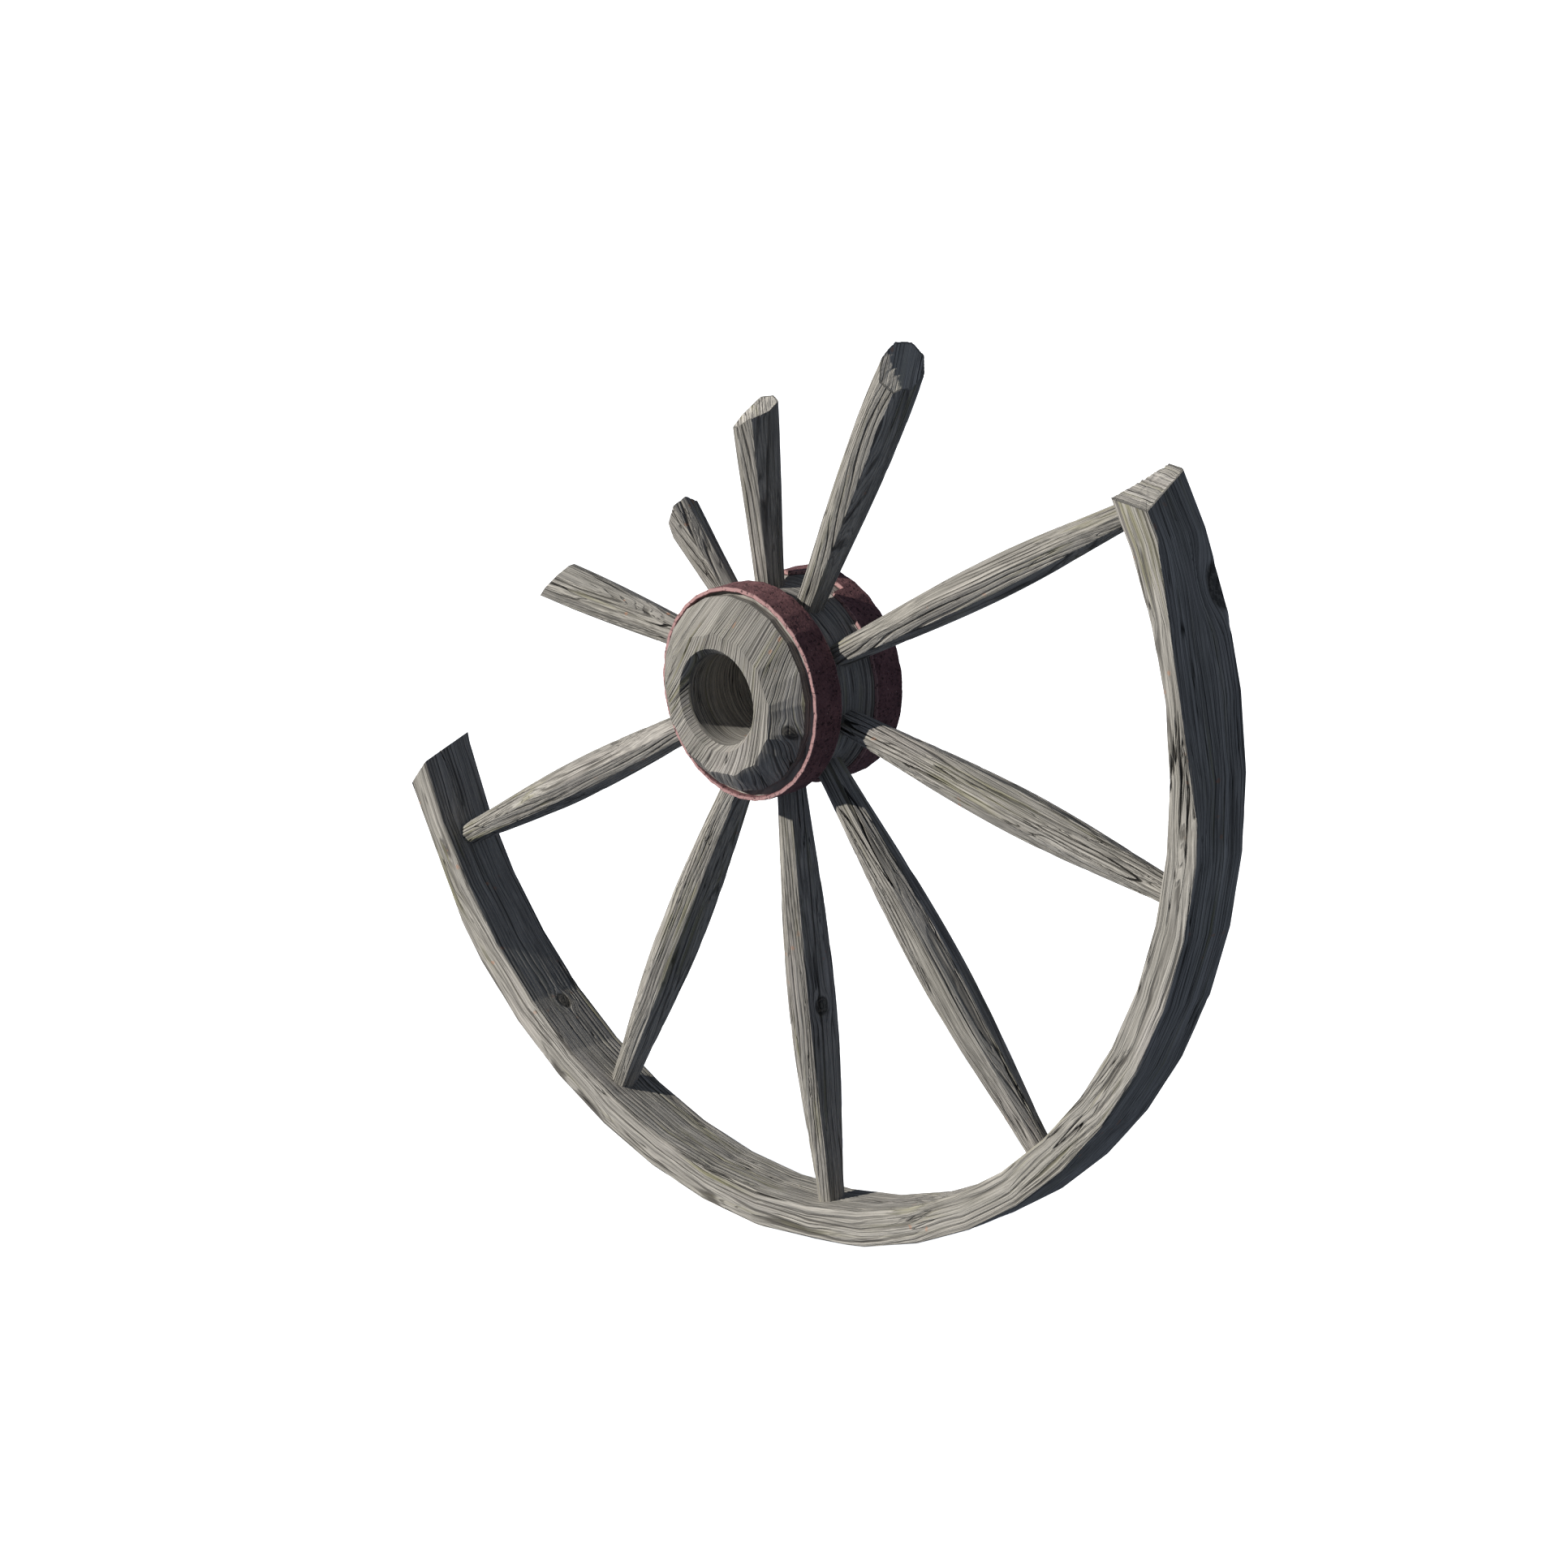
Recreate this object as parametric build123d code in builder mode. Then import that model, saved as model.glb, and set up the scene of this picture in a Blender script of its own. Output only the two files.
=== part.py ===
from build123d import *
import math
import os

# A weathered wooden cart wheel with part of its rim broken away.
# Millimetres. The wheel's axis is Y, its outer face looks along -Y, and +Z is up.
# The origin is the wheel's centre, on the axis and midway across the rim.
# Angles are in degrees in the XZ plane, from +X towards +Z.

os.makedirs("parts", exist_ok=True)

# ---- Rim
TREAD_R = 509.5  # radius over the tread of a 40 inch wheel
RIM_DEPTH = 33.5  # radial thickness of a felloe
RIM_WIDTH = 62.0  # across the tread
RIM_EDGE = 1.8  # worn bevel along the felloes' four edges

# ---- Nave
BORE_R = 40.0  # plain hole that runs on the axle arm
NAVE_LENGTH = 164.0
MOUTH_FLARE = 6.0  # how much wider the bore's mouth is at each end face
MOUTH_DEPTH = 8.0
FACE_R = 65.0  # flat end face
NOSE_STEP = 4.0  # how far the nose stands inside the bands' bore
NOSE_CYLINDER = 8.0  # straight part of the nose before it rounds over
NOSE_BULGE = 0.05  # how far the rounding stands out past a plain bevel
BARREL_STEP = 5.5  # the same, for the barrel between the bands, where the spokes enter
BARREL_FLARE = 6.0  # length over which the barrel rises to meet each band
FRONT_NOSE_SHIFT = (-2.5, 0.8)  # the front nose has worn off centre, X and Z

# ---- Nave bands
BAND_INNER_R = 92.0
BAND_THICK = 4.5
BAND_WIDTH = 32.5
BAND_GAP = 44.0  # between the two bands' inner edges
BAND_OVERHANG = 5.0  # how far each band runs past its seat, towards the nave's end
BAND_EDGE = 0.8
NOTCH_ANGLES = (65.0, 97.0)  # piece rusted out of the rear band's inner edge
NOTCH_WIDTH = 13.0

# ---- Spokes
SPOKE_ROOT = (12.0, 14.5)  # half sizes of the section, round the rim and along the axis
SPOKE_BELLY = (19.0, 25.5)
SPOKE_TIP = (11.5, 13.5)
BELLY_R = 290.0  # where the spoke is thickest
SWELL_POWER = 1.4  # more holds the spoke slim for longer at both ends
SPOKE_SETBACK = 2.0  # spokes stand this far in front of the rim's middle
SPOKE_HOUSING = 6.0  # depth that the spoke's body sinks into the barrel
RIM_HOUSING = 1.5  # and into the felloe
STATIONS = 8  # sections along a spoke
TENON = (14.0, 20.0)  # foot tenon: round the rim, along the axis
MORTISE_SPARE = 1.5  # empty depth below the tenon
MORTISE_WALL = 15.0  # wood left between a mortise and the bore
TONGUE_R = 7.0  # round tongue that enters the felloe
TONGUE_LENGTH = 14.0
TONGUE_SPARE = 1.5

# Each whole spoke's angle, and how far its own axis passes beside the wheel's. The wheel is
# old, so its spokes stand unevenly.
WHOLE_SPOKES = (
    (-150.2, -1.8),
    (-115.4, -2.0),
    (-82.3, 1.0),
    (-48.7, 3.0),
    (-10.4, -3.0),
    (29.7, -1.2),
)

# Each stub: the same two values, then its breaks. A break is a plane across the spoke: its
# radius on the spoke's axis, its slope round the rim and its slope to the rear.
STUBS = (
    (64.6, 0.7, ((343.5, 0.86, 0.26), (347.0, 1.50, 0.0))),
    (96.8, 2.7, ((237.5, -0.06, 0.57),)),
    (133.5, 0.4, ((174.0, -0.96, -0.05),)),
    (173.5, -5.5, ((291.5, 0.78, 0.40),)),
)

# ---- Felloes and their joints
RIM_START = -159.6  # broken end at the lower left
RIM_END = 31.35  # broken end at the upper right
START_SLOPE = (0.57, -0.29)  # lean of the break, outwards and to the rear
END_SLOPE = (-0.72, 0.42)
CHIP_DEPTH = 13.0  # chip out of the inner rear corner at the upper right end
CHIP_RUN = 26.0  # length of that chip along the rim
CHIP_REACH = 2.4 * RIM_WIDTH  # side of the block that cuts it
JOINTS = (-98.8, -29.5)  # butt joints, midway between two spokes
DOWEL_R = 6.0
DOWEL_LENGTH = 50.0
DOWEL_SPARE = 1.0

# The worn flat on each felloe's outer front corner: the angle of its middle, its depth down the
# front face, and the tilt of its normal from radial towards the front.
WEAR_LEFT = (-151.0, 9.5, 30.0)
WEAR_BOTTOM = (-83.0, 4.5, 30.0)
WEAR_RIGHT = (12.0, 15.0, 21.0)

# ---- Worked out
RIM_R = TREAD_R - RIM_DEPTH
HALF_NAVE = NAVE_LENGTH / 2
BAND_START = BAND_GAP / 2
BAND_END = BAND_START + BAND_WIDTH
MOUTH_R = BORE_R + MOUTH_FLARE
NOSE_R = BAND_INNER_R - NOSE_STEP
BARREL_R = BAND_INNER_R - BARREL_STEP
SEAT_R = BARREL_R - SPOKE_HOUSING
TENON_LENGTH = SEAT_R - BORE_R - MORTISE_WALL - MORTISE_SPARE
TIP_R = RIM_R + RIM_HOUSING
SWEEP_SPARE = 6.0  # degrees of extra rim that a break cuts off
ROUND_AXIS = Axis((0, 0, 0), (0, -1, 0))  # the wheel's axis, turning the way angles grow


def section_plane(angle):
    """Half plane through the axis at an angle: X runs outwards and Y to the rear."""
    a = math.radians(angle)
    return Plane(
        origin=(0, 0, 0),
        x_dir=(math.cos(a), 0, math.sin(a)),
        z_dir=(-math.sin(a), 0, math.cos(a)),
    )


def spoke_plane(angle, beside):
    """Sketch plane at a spoke's inner end: X runs round the rim, Y to the front, Z outwards."""
    a = math.radians(angle)
    round_rim = Vector(-math.sin(a), 0, math.cos(a))
    return Plane(
        origin=round_rim * beside - Vector(0, SPOKE_SETBACK, 0),
        x_dir=round_rim,
        z_dir=(math.cos(a), 0, math.sin(a)),
    )


def sloped_plane(base, radius, round_slope, rear_slope):
    """Plane across a spoke at a radius on its axis, rising outwards by the two slopes."""
    normal = base.z_dir - base.x_dir * round_slope + base.y_dir * rear_slope
    return Plane(origin=base.origin + base.z_dir * radius, z_dir=normal)


def rim_plane(angle, slopes=(0.0, 0.0)):
    """Plane across the rim at an angle, facing on round the rim, leaning by the slopes."""
    a = math.radians(angle)
    outwards = Vector(math.cos(a), 0, math.sin(a))
    onwards = Vector(-math.sin(a), 0, math.cos(a))
    normal = onwards - outwards * slopes[0] - Vector(0, 1, 0) * slopes[1]
    return Plane(origin=outwards * (RIM_R + RIM_DEPTH / 2), z_dir=normal)


def rim_point(angle, radius, rearwards):
    """A point of the rim, by its angle, its radius and its place along the axis."""
    return section_plane(angle).x_dir * radius + Vector(0, rearwards, 0)


def spoke_half_sizes(radius):
    """Half sizes of a spoke's section: a sine swell up to the belly and down again."""
    inside = radius < BELLY_R
    end_r, end = (SEAT_R, SPOKE_ROOT) if inside else (TIP_R, SPOKE_TIP)
    swell = math.sin(math.pi / 2 * (radius - end_r) / (BELLY_R - end_r)) ** SWELL_POWER
    return [small + (big - small) * swell for small, big in zip(end, SPOKE_BELLY)]


def eight_sided(half_x, half_y):
    """Corners of an octagon inside an ellipse, one corner at each end of both axes."""
    steps = [math.radians(45 * i) for i in range(8)]
    return [(half_x * math.cos(s), half_y * math.sin(s)) for s in steps]


def make_spoke(base, breaks=()):
    """One spoke on its plane: foot tenon, swelling body, and a tongue if it is whole."""
    with BuildPart() as spoke:
        for i in range(STATIONS):
            radius = SEAT_R + (TIP_R - SEAT_R) * i / (STATIONS - 1)
            with BuildSketch(base.offset(radius)):
                Polygon(*eight_sided(*spoke_half_sizes(radius)), align=None)
        loft()
        for break_radius, round_slope, rear_slope in breaks:
            cut = sloped_plane(base, break_radius, round_slope, rear_slope)
            split(bisect_by=cut, keep=Keep.BOTTOM)
        with BuildSketch(base.offset(SEAT_R)):
            Rectangle(*TENON)
        extrude(amount=-TENON_LENGTH)
        if not breaks:
            with BuildSketch(base.offset(TIP_R)):
                Circle(TONGUE_R)
            extrude(amount=TONGUE_LENGTH)
    return spoke


spokes = []
for number, (angle, beside, *breaks) in enumerate(WHOLE_SPOKES + STUBS, start=1):
    base = spoke_plane(angle, beside)
    spoke = make_spoke(base, *breaks)
    spoke.part.label = f"spoke_{number:02d}_stub" if breaks else f"spoke_{number:02d}"
    export_step(spoke.part, f"parts/{spoke.part.label}.step")
    spokes.append((angle, base, spoke))


# ---- Nave: a turned block with seats for its bands and a mortise for each spoke


def turned_nose(end, shift=(0, 0)):
    """The nave's front (-1) or rear (+1) end, from its middle outwards, turned about Y."""
    shift_x, shift_z = shift
    face = end * HALF_NAVE
    shoulder = end * (BAND_END - BAND_OVERHANG + NOSE_CYLINDER)
    bulge_r = (NOSE_R + FACE_R) / 2 + NOSE_BULGE * (NOSE_R - FACE_R)
    bulge_y = (shoulder + face) / 2 + NOSE_BULGE * (face - shoulder)
    with BuildPart() as nose:
        with BuildSketch(Plane((shift_x, 0, shift_z))):
            with BuildLine():
                Polyline((0, face), (0, 0), (NOSE_R, 0), (NOSE_R, shoulder))
                ThreePointArc((NOSE_R, shoulder), (bulge_r, bulge_y), (FACE_R, face))
                Line((FACE_R, face), (0, face))
            make_face()
        revolve(axis=Axis((shift_x, 0, shift_z), (0, 1, 0)))
    return nose.part


seat_end = BAND_END - BAND_OVERHANG
flare_start = BAND_START - BARREL_FLARE
bore_end = HALF_NAVE - MOUTH_DEPTH

with BuildPart() as nave:
    with BuildSketch(Plane.XY):
        with BuildLine():
            Polyline(
                (0, -seat_end),
                (BAND_INNER_R, -seat_end),
                (BAND_INNER_R, -BAND_START),
                (BARREL_R, -flare_start),
                (BARREL_R, flare_start),
                (BAND_INNER_R, BAND_START),
                (BAND_INNER_R, seat_end),
                (0, seat_end),
                close=True,
            )
        make_face()
    revolve(axis=Axis.Y)
    add(turned_nose(1))
    add(turned_nose(-1, FRONT_NOSE_SHIFT))
    with BuildSketch(Plane.XY):
        with BuildLine():
            Polyline(
                (0, -HALF_NAVE),
                (MOUTH_R, -HALF_NAVE),
                (BORE_R, -bore_end),
                (BORE_R, bore_end),
                (MOUTH_R, HALF_NAVE),
                (0, HALF_NAVE),
                close=True,
            )
        make_face()
    revolve(axis=Axis.Y, mode=Mode.SUBTRACT)
    for angle, base, spoke in spokes:
        add(spoke.part, mode=Mode.SUBTRACT)
        with BuildSketch(base.offset(SEAT_R)):
            Rectangle(*TENON)
        extrude(amount=-TENON_LENGTH - MORTISE_SPARE, mode=Mode.SUBTRACT)

nave.part.label = "nave"
export_step(nave.part, "parts/nave.step")


# ---- Nave bands: two iron hoops, the rear one with a piece missing


def ring_outline(inner_r, depth, start, width, edge):
    """Bevelled rectangle to revolve about the axis: a hoop's or the rim's section."""
    with Locations((inner_r + depth / 2, start + width / 2)):
        Rectangle(depth, width)
    chamfer(vertices(), edge)


with BuildPart() as front_band:
    with BuildSketch(Plane.XY):
        ring_outline(BAND_INNER_R, BAND_THICK, -BAND_END, BAND_WIDTH, BAND_EDGE)
    revolve(axis=Axis.Y)

front_band.part.label = "nave_band_front"
export_step(front_band.part, "parts/nave_band_front.step")

with BuildPart() as rear_band:
    with BuildSketch(Plane.XY):
        ring_outline(BAND_INNER_R, BAND_THICK, BAND_START, BAND_WIDTH, BAND_EDGE)
    revolve(axis=Axis.Y)
    with BuildSketch(section_plane(NOTCH_ANGLES[0])):
        with Locations((BAND_INNER_R + BAND_THICK / 2, BAND_START)):
            Rectangle(2 * BAND_THICK, 2 * NOTCH_WIDTH)
    revolve(
        axis=ROUND_AXIS,
        revolution_arc=NOTCH_ANGLES[1] - NOTCH_ANGLES[0],
        mode=Mode.SUBTRACT,
    )

rear_band.part.label = "nave_band_rear"
export_step(rear_band.part, "parts/nave_band_rear.step")


# ---- Dowels that pin the felloes end to end

for name, joint in zip(("felloe_dowel_left", "felloe_dowel_right"), JOINTS):
    with BuildPart() as dowel:
        with BuildSketch(rim_plane(joint)):
            Circle(DOWEL_R)
        extrude(amount=DOWEL_LENGTH / 2, both=True)
    dowel.part.label = name
    export_step(dowel.part, f"parts/{name}.step")


# ---- Felloes: three bent lengths of rim, two of them broken off at their outer ends


def worn_plane(angle, depth, tilt):
    """Plane of a worn flat, facing out of the wood."""
    lean = math.radians(tilt)
    normal = section_plane(angle).x_dir * math.cos(lean) - Vector(0, math.sin(lean), 0)
    return Plane(origin=rim_point(angle, TREAD_R - depth, -RIM_WIDTH / 2), z_dir=normal)


def make_felloe(start, end, wear, start_slope=None, end_slope=None):
    """One length of rim between two angles. A slope makes that end a break."""
    first = start if start_slope is None else start - SWEEP_SPARE
    last = end if end_slope is None else end + SWEEP_SPARE
    with BuildPart() as felloe:
        with BuildSketch(section_plane(first)):
            ring_outline(RIM_R, RIM_DEPTH, -RIM_WIDTH / 2, RIM_WIDTH, RIM_EDGE)
        revolve(axis=ROUND_AXIS, revolution_arc=last - first)
        if start_slope is not None:
            split(bisect_by=rim_plane(start, start_slope), keep=Keep.TOP)
        if end_slope is not None:
            split(bisect_by=rim_plane(end, end_slope), keep=Keep.BOTTOM)
        split(bisect_by=worn_plane(*wear), keep=Keep.BOTTOM)
        for angle, base, spoke in spokes:
            if start < angle < end:
                add(spoke.part, mode=Mode.SUBTRACT)
                with BuildSketch(base.offset(TIP_R)):
                    Circle(TONGUE_R)
                extrude(amount=TONGUE_LENGTH + TONGUE_SPARE, mode=Mode.SUBTRACT)
        for joint in JOINTS:
            if joint in (start, end):
                with BuildSketch(rim_plane(joint)):
                    Circle(DOWEL_R)
                extrude(amount=DOWEL_LENGTH / 2 + DOWEL_SPARE, both=True, mode=Mode.SUBTRACT)
    return felloe


felloe_left = make_felloe(RIM_START, JOINTS[0], WEAR_LEFT, start_slope=START_SLOPE)
felloe_left.part.label = "felloe_left"
export_step(felloe_left.part, "parts/felloe_left.step")

felloe_bottom = make_felloe(*JOINTS, WEAR_BOTTOM)
felloe_bottom.part.label = "felloe_bottom"
export_step(felloe_bottom.part, "parts/felloe_bottom.step")

with BuildPart() as felloe_right:
    add(make_felloe(JOINTS[1], RIM_END, WEAR_RIGHT, end_slope=END_SLOPE).part)
    chip_start = rim_point(RIM_END, RIM_R, -RIM_WIDTH / 2)
    chip_top = rim_point(RIM_END, RIM_R + CHIP_DEPTH, RIM_WIDTH / 2)
    chip_back = rim_point(RIM_END - math.degrees(CHIP_RUN / RIM_R), RIM_R, RIM_WIDTH / 2)
    chip_normal = (chip_top - chip_start).cross(chip_back - chip_start)
    with Locations(Plane(origin=chip_start, z_dir=chip_normal)):
        Box(
            CHIP_REACH,
            CHIP_REACH,
            CHIP_DEPTH * 2,
            align=(Align.CENTER, Align.CENTER, Align.MIN),
            mode=Mode.SUBTRACT,
        )

felloe_right.part.label = "felloe_right"
export_step(felloe_right.part, "parts/felloe_right.step")
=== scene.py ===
# %% [markdown]
# # A broken wooden cart wheel
#
# This lesson dresses a plain engineering model of a cart wheel as weathered oak and rusty iron.
# The engineering model is loaded first and is never changed. Each visible piece is then made
# afresh, in the same place and the same size, with the drying cracks, worn corners and broken
# ends that the plain solid lacks. Everything is in metres. The wheel's axis is Y, its outer face
# looks along -Y, and +Z is up. An angle on the wheel starts at +X and grows towards +Z.

import math

import bmesh
import bpy
import numpy as np
from mathutils import Matrix, Vector


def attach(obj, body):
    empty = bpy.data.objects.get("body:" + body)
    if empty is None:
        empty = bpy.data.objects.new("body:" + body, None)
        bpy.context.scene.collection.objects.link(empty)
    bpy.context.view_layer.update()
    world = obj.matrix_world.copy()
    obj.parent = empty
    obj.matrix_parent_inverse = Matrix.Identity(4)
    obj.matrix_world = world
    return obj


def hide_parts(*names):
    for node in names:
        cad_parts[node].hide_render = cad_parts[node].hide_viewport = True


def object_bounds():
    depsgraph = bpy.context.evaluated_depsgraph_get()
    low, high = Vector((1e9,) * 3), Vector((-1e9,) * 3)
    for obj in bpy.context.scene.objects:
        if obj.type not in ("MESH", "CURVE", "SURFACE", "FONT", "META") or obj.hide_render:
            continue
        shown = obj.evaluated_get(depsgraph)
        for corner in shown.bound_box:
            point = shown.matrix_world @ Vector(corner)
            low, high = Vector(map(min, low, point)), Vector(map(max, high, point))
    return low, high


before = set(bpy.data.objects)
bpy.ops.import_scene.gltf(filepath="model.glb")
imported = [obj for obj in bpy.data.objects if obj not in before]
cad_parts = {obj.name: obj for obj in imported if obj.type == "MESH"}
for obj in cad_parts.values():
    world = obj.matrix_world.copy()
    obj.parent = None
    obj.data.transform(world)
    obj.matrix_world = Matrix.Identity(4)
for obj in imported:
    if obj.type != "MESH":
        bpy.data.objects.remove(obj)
cad_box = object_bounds()
MM = 0.001
print("solids in the engineering model:", len(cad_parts))

# %% [markdown]
# ## Camera and light
#
# The camera comes first, because every later choice is judged through it. A long lens stands
# about four and a half metres off, to the right of the wheel and a little above it. Its matrix
# is given by its own right and up directions, because it doesn't aim at the wheel's centre.
#
# Outdoor wood is lit by one strong source and the weak blue of the sky. One sun lamp stands in
# for the first, and the world's colour for the second. The floor glows, so that it stays pale
# where the wheel shades it, and it is hidden from bounced light, so that it doesn't light the
# wheel from below.

# %% Camera
CAMERA_PLACE = Vector((3.152, -3.174, 1.319))
CAMERA_RIGHT = Vector((0.7098, 0.7044, 0.0)).normalized()
CAMERA_UP = Vector((-0.2122, 0.2139, 0.9535)).normalized()
LENS_MM = 121.1

camera_data = bpy.data.cameras.new("camera")
camera_data.sensor_width = 36.0
camera_data.lens = LENS_MM
camera_data.clip_end = 60.0
camera = bpy.data.objects.new("camera", camera_data)
bpy.context.scene.collection.objects.link(camera)
camera_axes = Matrix((CAMERA_RIGHT, CAMERA_UP, CAMERA_RIGHT.cross(CAMERA_UP))).transposed()
camera.matrix_world = Matrix.Translation(CAMERA_PLACE) @ camera_axes.to_4x4()
bpy.context.scene.camera = camera
bpy.context.scene.view_settings.view_transform = "Standard"
print("camera stands", round(CAMERA_PLACE.length, 2), "m from the wheel's centre")

# %% Sun and sky
TO_SUN = Vector((-0.60, -1.0, 0.60)).normalized()
SUN_STRENGTH = 4.4
SUN_WIDTH_DEGREES = 1.6
SKY_LIGHT = (0.112, 0.136, 0.185, 1.0)
SEEN_SKY = (1.0, 1.0, 1.0, 1.0)

sun_data = bpy.data.lights.new("sun", "SUN")
sun_data.energy = SUN_STRENGTH
sun_data.angle = math.radians(SUN_WIDTH_DEGREES)
sun_data.color = (1.0, 0.985, 0.955)
sun = bpy.data.objects.new("sun", sun_data)
sun.rotation_mode = "QUATERNION"
sun.rotation_quaternion = TO_SUN.to_track_quat("Z", "Y")
bpy.context.scene.collection.objects.link(sun)
print("sun stands", round(math.degrees(math.asin(TO_SUN.z))), "degrees above the floor")

# %% [markdown]
# ## Writing node trees as sums
#
# Shader trees and geometry trees are both built from the same kinds of Math, Mix and Noise
# nodes. One small class, Value, wraps a socket, so that `1 - mask` adds the Math node that works
# it out. Another, Net, has the one method that adds any other node. Because both kinds of tree
# understand the same nodes, one function can say where a crack runs, and both the mesh and the
# colour can follow it.


# %% Node helpers
def find_socket(sockets, key):
    """A socket by its number, or the first one in use with that name."""
    if isinstance(key, int):
        return sockets[key]
    return next(s for s in sockets if s.enabled and s.name == key)


class Net:
    """A node tree, and the one way that this script adds nodes to it."""

    def __init__(self, tree):
        self.tree = tree

    def feed(self, socket, value):
        if isinstance(value, Value):
            self.tree.links.new(value.socket, socket)
            return
        wide = getattr(socket, "default_value", None)
        if hasattr(wide, "__len__") and not isinstance(value, str):
            value = tuple(value) if hasattr(value, "__len__") else (value,) * 3
            value = value + (1.0,) * (len(wide) - len(value))
        socket.default_value = value

    def add(self, kind, settings=None, inputs=None, out=0):
        node = self.tree.nodes.new(kind)
        for name, value in (settings or {}).items():
            setattr(node, name, value)
        for key, value in (inputs or {}).items():
            self.feed(find_socket(node.inputs, key), value)
        return Value(self, find_socket(node.outputs, out))

    def vector(self, x, y, z):
        return self.add("ShaderNodeCombineXYZ", None, {"X": x, "Y": y, "Z": z})

    def mix(self, factor, a, b, blend="MIX"):
        settings = {"data_type": "RGBA", "blend_type": blend, "clamp_factor": True}
        return self.add("ShaderNodeMix", settings, {"Factor": factor, "A": a, "B": b}, "Result")

    def noise(self, at, scale, detail=2.0, roughness=0.5, out=0):
        """Smooth random value about 0.5. The scale is in lumps a metre, or one for each way."""
        inputs = {"Vector": at * scale, "Scale": 1.0, "Detail": detail, "Roughness": roughness}
        return self.add("ShaderNodeTexNoise", None, inputs, out)


class Value:
    """A node's output that can be used in Python sums."""

    def __init__(self, net, socket):
        self.net = net
        self.socket = socket

    def math(self, operation, *others, out=0):
        terms = (self, *others)
        wide = any(isinstance(t, tuple) or getattr(t, "wide", False) for t in terms)
        kind = "ShaderNodeVectorMath" if wide else "ShaderNodeMath"
        return self.net.add(kind, {"operation": operation}, dict(enumerate(terms)), out)

    @property
    def wide(self):
        return self.socket.type in ("VECTOR", "RGBA")

    def __add__(self, other):
        return self.math("ADD", other)

    __radd__ = __add__

    def __mul__(self, other):
        return self.math("MULTIPLY", other)

    __rmul__ = __mul__

    def __sub__(self, other):
        return self.math("SUBTRACT", other)

    def __rsub__(self, other):
        return self * -1.0 + other

    def __truediv__(self, other):
        return self.math("DIVIDE", other)

    def __pow__(self, power):
        return self.math("POWER", power)

    def least(self, other):
        return self.math("MINIMUM", other)

    def most(self, other):
        return self.math("MAXIMUM", other)

    def size(self):
        return self.math("ABSOLUTE")

    def sine(self):
        return self.math("SINE")

    def cosine(self):
        return self.math("COSINE")

    def root(self):
        return self.math("SQRT")

    def dot(self, other):
        return self.math("DOT_PRODUCT", other, out="Value")

    def length(self):
        return self.math("LENGTH", out="Value")

    def part(self, axis):
        return self.net.add("ShaderNodeSeparateXYZ", None, {"Vector": self}, axis)

    def rise(self, low, high, smooth=False):
        """0 up to low, 1 from high, and straight or smooth between."""
        settings = {"interpolation_type": "SMOOTHSTEP" if smooth else "LINEAR", "clamp": True}
        inputs = {"Value": self, "From Min": low, "From Max": high}
        return self.net.add("ShaderNodeMapRange", settings, inputs)


print("helpers ready:", Net.__name__, "and", Value.__name__)

# %% [markdown]
# ## Where the grain runs
#
# Wood is a bundle of long fibres, so every pattern in it is stretched along them. Each piece
# stores a vector called grain on its points: two distances across the fibres and, in Z, the
# distance along them. It is the piece's own UV map in three directions. The spokes' grain
# follows each spoke, a felloe's follows the curve of the rim, and the nave's runs slanting over
# its ends and round its sides. A knot is a branch that the fibres flow round, so near one the
# grain's sideways distance is squeezed before any pattern reads it.

# %% Knots, and grain that bends round them
# Each kind of piece reads the patterns from a place of its own. A felloe's grain along the rim is
# its angle times the radius halfway through the rim.
SPOKE_SHIFT = Vector((0.31, 0.17, 0.83))
FELLOE_SHIFT = Vector((-0.41, 0.29, 0.0))
NAVE_SHIFT = Vector((-0.93, -0.57, 0.37))
KNOT_RIM_R = 0.4928


def spoke_shift(number):
    """Where a spoke's grain starts, so that no two spokes look alike."""
    return SPOKE_SHIFT * number


# Each knot: the piece's own grain at its centre, its radius, and the axis that it faces.
KNOTS = [
    (Vector((0.018, -0.005, 0.293)) + spoke_shift(3), 0.0068, 0),
    (Vector((0.0037, -0.0168, math.radians(-128.1) * KNOT_RIM_R)) + FELLOE_SHIFT, 0.0070, 1),
    (Vector((0.0276, 0.0168, math.radians(20.2) * KNOT_RIM_R)) + FELLOE_SHIFT, 0.0150, 1),
    (Vector((0.0835, 0.0251, 0.0195)) + NAVE_SHIFT, 0.0045, 1),
]
KNOT_REACH = 2.4
KNOT_SQUEEZE = 0.85
WANDER, RIPPLE = 0.022, 0.0030


def knot_nearness(net, grain, knot):
    """How far the grain is from a knot's middle, in the knot's own radii."""
    centre, radius, facing = knot
    stretch = [1.0, 1.0, 0.75]
    stretch[facing] = 0.3
    away = (grain - tuple(centre)) * tuple(s / radius for s in stretch)
    return away, away.length()


def settle_grain(net, grain):
    """Grain with a slow wander, bent round every knot, and how much of a knot is here."""
    wander = net.noise(grain, (9.0, 9.0, 3.5), 1.0, out=1) - (0.5, 0.5, 0.5)
    ripple = net.noise(grain, (42.0, 42.0, 14.0), 1.0, out=1) - (0.5, 0.5, 0.5)
    raw = grain
    grain = grain + wander * (WANDER, WANDER, 0.0) + ripple * (RIPPLE, RIPPLE, 0.0)
    knots = None
    for knot in KNOTS:
        away, far = knot_nearness(net, raw, knot)
        _, radius, facing = knot
        sideways = [0.0, 0.0, 0.0]
        sideways[1 - facing] = -radius * KNOT_SQUEEZE
        grain = grain + away * tuple(sideways) * (1.0 - far.rise(0.6, KNOT_REACH, smooth=True))
        here = 1.0 - far.rise(0.85, 1.15, smooth=True)
        knots = here if knots is None else knots.most(here)
    return grain, knots


print("knots:", len(KNOTS))

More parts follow.
